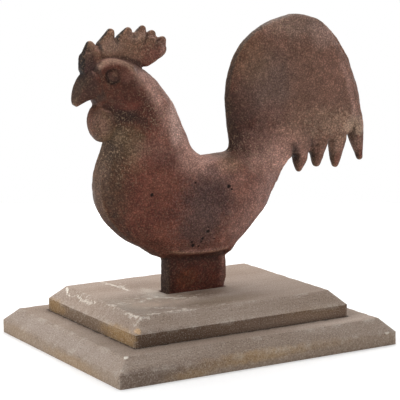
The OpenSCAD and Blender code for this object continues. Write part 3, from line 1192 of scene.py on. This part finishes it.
@dataclass
class Board:
    """One bevelled board of the stand with its mortise."""

    node: str
    name: str
    length: float
    depth: float
    low: float
    thick: float
    bevel: float
    # Width of the rounded arrises, radius of the corners and size of the cells that the wear moves
    arris: float = 1.4
    corner: float = 1.6
    cell: float = 3.0
    # Mean depth that the arrises are rubbed, how much it varies, and the deepest
    rub: Triple = (0.12, 0.3, 0.8)
    # Distances from an arris that are left alone and fully rubbed, and width of a place rubbed alike
    rub_from: Pair = (1.6, 0.4)
    rub_size: float = 9.0

    def build(self) -> bpy.types.Object:
        """Models the board.

        Returns:
            The finished piece without its material.
        """
        obj = copy_of_node(self.node, self.name)
        with edit_mode(obj):
            bpy.ops.mesh.dissolve_limited(angle_limit=math.radians(0.5))
        apply_modifier(obj, "BEVEL", width=self.arris * MM, segments=3, limit_method="ANGLE",
                       angle_limit=math.radians(30), use_clamp_overlap=True, profile=0.5)
        self.cut_cells(obj)
        self.wear(obj)
        make_active(obj)
        bpy.ops.object.shade_smooth_by_angle(angle=math.radians(35))
        return obj

    def cut_cells(self, obj: bpy.types.Object) -> None:
        """Cuts the board into small cells that the wear can move.

        Args:
            obj: The bevelled board.
        """
        ranges = ((-self.length / 2, self.length), (-self.depth / 2, self.depth), (self.low, self.thick))
        with edit_mode(obj):
            for axis, (low, size) in enumerate(ranges):
                count = int(size / self.cell)
                for k in range(1, count):
                    place, normal = [0.0, 0.0, 0.0], [0.0, 0.0, 0.0]
                    place[axis] = (low + size * k / count) * MM
                    normal[axis] = 1.0
                    bpy.ops.mesh.select_all(action="SELECT")
                    bpy.ops.mesh.bisect(plane_co=place, plane_no=normal)

    def wear(self, obj: bpy.types.Object) -> None:
        """Rubs the arrises and corners unevenly.

        Args:
            obj: The board in cells.
        """
        low, high = (np.array(v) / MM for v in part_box(self.node))
        points, normals = points_of(obj), normals_of(obj)
        rub = field_noise(points, self.rub_size, 4.4)
        edge = self.arris_share(points)
        mean, swing, deepest = self.rub
        push = -edge * np.clip(mean + swing * rub, 0, deepest)
        points = self.round_corners(points + normals * push[:, None], rub)
        set_points(obj, np.clip(points, low, high))
        store(obj, "ridge", edge * smooth_step(-0.1, 0.5, rub))
        LOG.info("%s: %d points", self.name, len(points))

    def round_corners(self, points: np.ndarray, rub: np.ndarray) -> np.ndarray:
        """Rounds the four upright corners as seen from above.

        Args:
            points: Places in millimetres.
            rub: About -1 to 1 for how much each place is rubbed.

        Returns:
            The rounded places.
        """
        slope = np.clip(points[:, 2] - (self.low + self.thick - self.bevel), 0, None)
        radius = self.corner * (1 + 0.3 * rub)
        middle = np.stack((self.length / 2 - slope - radius, self.depth / 2 - slope - radius), axis=1)
        out = np.abs(points[:, :2]) - middle
        reach = np.linalg.norm(np.clip(out, 0, None), axis=1)
        beyond = (out > 0).all(axis=1) & (reach > radius)
        shrink = np.where(beyond, radius / np.where(beyond, reach, 1), 1)[:, None]
        moved = np.sign(points[:, :2]) * (middle + out * shrink)
        return np.column_stack((np.where(beyond[:, None], moved, points[:, :2]), points[:, 2]))

    def arris_share(self, points: np.ndarray) -> np.ndarray:
        """Finds the points on the outer arrises above the underside.

        Args:
            points: Places in millimetres.

        Returns:
            1 on an arris and 0 away from it.
        """
        # How far a point lies beyond the ends and the sides, and above the underside
        ends = np.abs(points[:, 0]) - self.length / 2
        sides = np.abs(points[:, 1]) - self.depth / 2
        up = points[:, 2] - self.low
        upright = self.thick - self.bevel
        out = np.maximum(ends, sides)
        top = np.hypot(out + self.bevel, up - self.thick)
        foot = np.hypot(out, up - upright)
        # Upright corners below the bevel and mitres on it, which end under the flat top
        mitre = np.abs(ends - sides) / 1.4 + np.where(up > self.thick - 0.2, 9, 0)
        corner = np.where(up < upright, np.hypot(out, np.minimum(ends, sides)), mitre)
        near = np.minimum(np.minimum(top, foot), corner)
        return smooth_step(*self.rub_from, near) * (up > 1.0)


@dataclass
class StandScrews:
    """Four slotted wood screws in the underside."""

    node: str = "board_screws"

    def dress(self, material: bpy.types.Material) -> None:
        """Gives the screws their finish.

        Args:
            material: The steel.
        """
        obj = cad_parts[self.node]
        obj.data.materials.clear()
        obj.data.materials.append(material)
        LOG.info("screws dressed")


@dataclass(frozen=True)
class Lamp:
    """A square soft box that faces the object: its place and side in metres, and its power."""

    name: str
    place: Triple
    size: float
    watts: float


@dataclass
class Studio:
    """White sweep, soft lights and the camera of the photo."""

    # Where the photo was taken from, in degrees and millimetres, and its lens
    look_at: Triple = (3.0, 0.0, 103.9)
    azimuth: float = 31.4
    elevation: float = 9.6
    distance: float = 1194.0
    lens: float = 146.0
    sensor: float = 36.0
    sky: float = 0.22
    # Place in metres that the lamps face
    lamp_aim: Triple = (0, 0, 0.1)
    lamps: tuple[Lamp, ...] = (
        Lamp("Top", (0.3, 0.55, 1.3), 1.1, 17.5),
        Lamp("Left", (-1.3, -0.05, 0.7), 0.9, 11.0),
        Lamp("Right", (1.3, 0.3, 0.45), 0.9, 8.0),
        Lamp("Front", (0.25, -1.5, 0.4), 0.9, 2.9),
    )
    # Side of the floor and how far it runs behind the object, in metres
    floor_size: float = 3.0
    floor_end: float = 0.587
    # Distances from the object in metres between which the floor turns white, and its glow there
    glow_from: Pair = (0.3, 0.75)
    glow: Pair = (0.28, 1.0)

    def build(self) -> None:
        """Sets up the floor, the lights, the world and the camera."""
        self.floor()
        self.world()
        for lamp in self.lamps:
            self.hang(lamp)
        self.camera()

    def floor(self) -> None:
        """Lays the white floor, which keeps the object's shadow."""
        deselect_all()
        turn = math.radians(self.azimuth)
        middle = self.floor_end - self.floor_size / 2
        bpy.ops.mesh.primitive_plane_add(
            size=self.floor_size, location=(middle * math.sin(turn), middle * math.cos(turn), 0),
            rotation=(0, 0, -turn))
        floor = bpy.context.active_object
        floor.name = "floor"
        g = Graph("White paper sweep")
        # Seen by the camera it is lifted to white, except where the object shades it
        diffuse = g.add("BsdfDiffuse", {"Color": (0.8, 0.8, 0.8, 1)})
        path = g.add("LightPath")
        seen = g.math("MAXIMUM", path.outputs["Is Camera Ray"], path.outputs["Is Glossy Ray"])
        away = g.add("VectorMath", {0: g.place(), 1: (0, -middle, 0)}, operation="DISTANCE")
        lift = g.times(seen, g.ramp(away.outputs["Value"], *self.glow_from, *self.glow))
        glow = g.add("Emission", {"Color": (1, 1, 1, 1), "Strength": lift})
        both = g.add("AddShader", {0: diffuse.outputs[0], 1: glow.outputs[0]})
        g.tree.links.new(both.outputs[0], g.out.inputs["Surface"])
        floor.data.materials.append(g.material)

    def world(self) -> None:
        """Fills the room with even light, and shows white to the camera."""
        world = bpy.data.worlds.new("Studio")
        bpy.context.scene.world = world
        world.use_nodes = True
        nodes, links = world.node_tree.nodes, world.node_tree.links
        back = nodes["Background"]
        path = nodes.new("ShaderNodeLightPath")
        level = nodes.new("ShaderNodeMapRange")
        level.inputs["To Min"].default_value = self.sky
        level.inputs["To Max"].default_value = 1.0
        links.new(path.outputs["Is Camera Ray"], level.inputs["Value"])
        links.new(level.outputs[0], back.inputs["Strength"])
        back.inputs["Color"].default_value = (1, 1, 1, 1)

    def hang(self, lamp: Lamp) -> None:
        """Hangs one soft box.

        Args:
            lamp: The soft box.
        """
        data = bpy.data.lights.new(lamp.name, "AREA")
        data.size = lamp.size
        data.energy = lamp.watts
        box = bpy.data.objects.new(lamp.name, data)
        box.location = lamp.place
        aim = Vector(self.lamp_aim) - Vector(lamp.place)
        box.rotation_euler = aim.to_track_quat("-Z", "Y").to_euler()
        bpy.context.scene.collection.objects.link(box)

    def camera(self) -> None:
        """Sets the camera where the photo was taken from."""
        turn, rise = math.radians(self.azimuth), math.radians(self.elevation)
        back = Vector((-math.sin(turn) * math.cos(rise), -math.cos(turn) * math.cos(rise),
                       math.sin(rise)))
        data = bpy.data.cameras.new("Camera")
        data.sensor_width = self.sensor
        data.lens = self.lens
        camera = bpy.data.objects.new("Camera", data)
        camera.location = (Vector(self.look_at) + back * self.distance) * MM
        camera.rotation_euler = (-back).to_track_quat("-Z", "Y").to_euler()
        bpy.context.scene.collection.objects.link(camera)
        bpy.context.scene.camera = camera


OCHRE = "#b5905a"
UPPER_PAINT = WornPaint(
    name="Grey-brown milk paint on pine, scuffed",
    paint="#af9d90", low_paint="#907b6a", sides=("#6a503d", 0.85), ends=("#6e5843", 0.8),
    marks=(
        # Brown handling and a painted shadow of the bird, in front of the stem and to its right
        Mark((-10, -43, 38), (28, 10, 4), "#7d6a50", 0.45),
        Mark((-9, -18, 38), (18, 9, 4), "#6b4f38", 0.65),
        Mark((-20, -50, 38), (16, 8, 4), "#6b5138", 0.35),
        Mark((-32, 30, 38), (16, 14, 4), "#7f6d60", 0.35),
        Mark((45, 22, 38), (22, 16, 4), "#8a7668", 0.35),
        Mark((35, -48, 38), (50, 9, 4), "#84705f", 0.1),
        Mark((58, -67, 25), (28, 4, 4), OCHRE, 0.12),
        Mark((0, -62, 33), (92, 5, 5), "#8b7868", 0.25),
        Mark((-68, -67, 25), (34, 3, 6), "#3f2d20", 0.35),
        Mark((42, -67, 21), (50, 3, 5), "#b09a8a", 0.3),
        # Left end and corner worn to bare wood
        Mark((-89.5, -46, 24), (3, 24, 6), OCHRE, 0.5),
        Mark((-89.5, 56, 24), (3, 17, 5), OCHRE, 0.45),
        Mark((-86, -64, 30), (2.2, 3, 2.2), "#d9b48a", 0.8, 0.8, 0.3, 2),
        # Chalky bloom round the foot of the stem and on the left, painted pale to lift the shadow of the
        # bird
        Mark((-46, -22, 38), (26, 15, 4), "#ecd3be", 0.5),
        Mark((-60, -28, 38), (12, 9, 4), "#f3dcc8", 0.4),
        Mark((-39, -8, 38), (9, 7, 4), "#f3e6d8", 0.4),
        Mark((-36, 2, 38), (6, 15, 3), "#cfc3b5", 0.5, 1.2, 0.6, 4),
        Mark((-72, -28, 38), (8, 26, 4), "#c3b6a8", 0.4, 1.2, 0.6, 4),
    ),
    scratches=(
        Scratch((-80.5, 54, 37), (-84, 43.5, 33.5), 0.9, 0.9),
        Scratch((-82.5, 32, 35), (-83.5, 24.5, 34), 0.8, 0.6),
        Scratch((-83.5, 23, 34), (-82.5, 6.5, 35), 1.0, 0.4),
        Scratch((-50, 55, 38), (-48.5, 41.5, 38), 0.9, 0.55),
        Scratch((-48.5, 41.5, 38), (-47, 20.5, 38), 1.0, 0.6),
        Scratch((-68.5, -18, 38), (-58, -17.5, 38), 0.7, 0.8),
        Scratch((-58, -17.5, 38), (-47, -12.5, 38), 1.0, 0.9),
        Scratch((-47, -12.5, 38), (-40, -10, 38), 1.3, 0.95),
        Scratch((-38, -12, 38), (-29, -21, 38), 1.1, 0.9),
        Scratch((-29, -21.5, 38), (-15.5, -25, 38), 0.8, 0.8),
        Scratch((-65, -35, 38), (-46, -47, 38), 0.8, 0.5),
        Scratch((-71.5, -53.5, 38), (-63, -54.5, 38), 0.8, 0.6),
        Scratch((-63, -54.5, 38), (-52.5, -54, 38), 0.8, 0.6),
        Scratch((-52.5, -54, 38), (-35.5, -56.5, 38), 0.7, 0.5),
        Scratch((-58, -37.5, 38), (-56, -41, 38), 0.8, 0.5),
        Scratch((-80.5, -38.5, 37), (-80.5, -51, 37), 0.8, 0.5),
        Scratch((-80.5, -51, 37), (-79.5, -57.5, 37.5), 0.9, 0.55),
        Scratch((-79.5, -57.5, 37.5), (-74.5, -58, 37), 0.7, 0.4),
        Scratch((-81, -58.5, 36.5), (-84.5, -57.5, 33), 0.8, 0.35),
        Scratch((-80, -11.5, 37.5), (-78.5, -18.5, 38), 0.8, 0.5),
    ),
    flecked=(
        ((-36, -12, 38), (16, 14, 3)), ((-22, -22, 38), (20, 6, 3)), ((-45, -52, 38), (34, 5, 3)),
        ((-81.5, 20, 36), (3, 24, 3)), ((-80, -46, 37), (4, 14, 3)), ((-62, -16, 38), (22, 9, 3)),
        ((-47, 40, 38), (6, 20, 3)),
    ))
LOWER_PAINT = WornPaint(
    name="Grey-brown milk paint on pine, rubbed",
    paint="#a49386", low_paint="#887464", sides=("#a08b78", 0.6), ends=("#9d8a78", 0.6),
    marks=(
        # Arris and front rubbed to ochre wood
        Mark((-12, -92.5, 8), (38, 5, 4), OCHRE, 0.45),
        Mark((-60, -92.5, 3), (18, 5, 3), OCHRE, 0.4),
        Mark((45, -92.5, 9), (30, 5, 3), OCHRE, 0.15),
        Mark((-100, -92.5, 6), (26, 3, 7), "#65534a", 0.55),
        Mark((-62, -92.5, 10), (40, 4, 6), "#6d5648", 0.35),
        Mark((-115.5, -24, 3), (5, 40, 4), OCHRE, 0.25),
        Mark((-115, 62, 5), (5, 22, 5), OCHRE, 0.12),
        # Dirt and painted shade along the front, below the upper board
        Mark((-35, -74, 19), (80, 10, 4), "#7c6757", 0.4),
        # Chalky left end and front right
        Mark((-111, 20, 14), (6, 90, 6), "#c6bcb6", 0.2),
        Mark((75, -74, 19), (45, 8, 4), "#c8b6aa", 0.4),
        # Chipped corner
        Mark((-105.7, -82.6, 18.7), (1.8, 1.6, 1.0), "#efe8dc", 0.9, 0.6, 0.4, 2),
    ),
    scratches=(Scratch((103, -92.5, 9.6), (115, -92.5, 10), 0.6, 0.6),),
    joint=(89.5, 67))


def main() -> None:
    """Builds the looks on the frame and attaches them to their bodies."""
    logging.basicConfig(level=logging.INFO)
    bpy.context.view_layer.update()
    bpy.context.scene.view_settings.view_transform = "Standard"

    casting = RoosterCasting()
    rooster = casting.build()
    rooster.data.materials.append(RustedIron(pits=casting.pits).material())
    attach(rooster, "weight")
    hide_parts("rooster_casting")

    upper = Board("upper_board", "upper_board_worn", length=179, depth=134, low=19, thick=19, bevel=10)
    lower = Board("lower_board", "lower_board_worn", length=231, depth=185, low=0, thick=19, bevel=9.5)
    for board, paint, slot in ((upper, UPPER_PAINT, "upper_wood"), (lower, LOWER_PAINT, "lower_wood")):
        piece = board.build()
        piece.data.materials.append(paint.material())
        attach(piece, "stand")
        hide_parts(board.node)

    StandScrews().dress(PlainSteel().material())
    Studio().build()


if __name__ == "__main__":
    main()
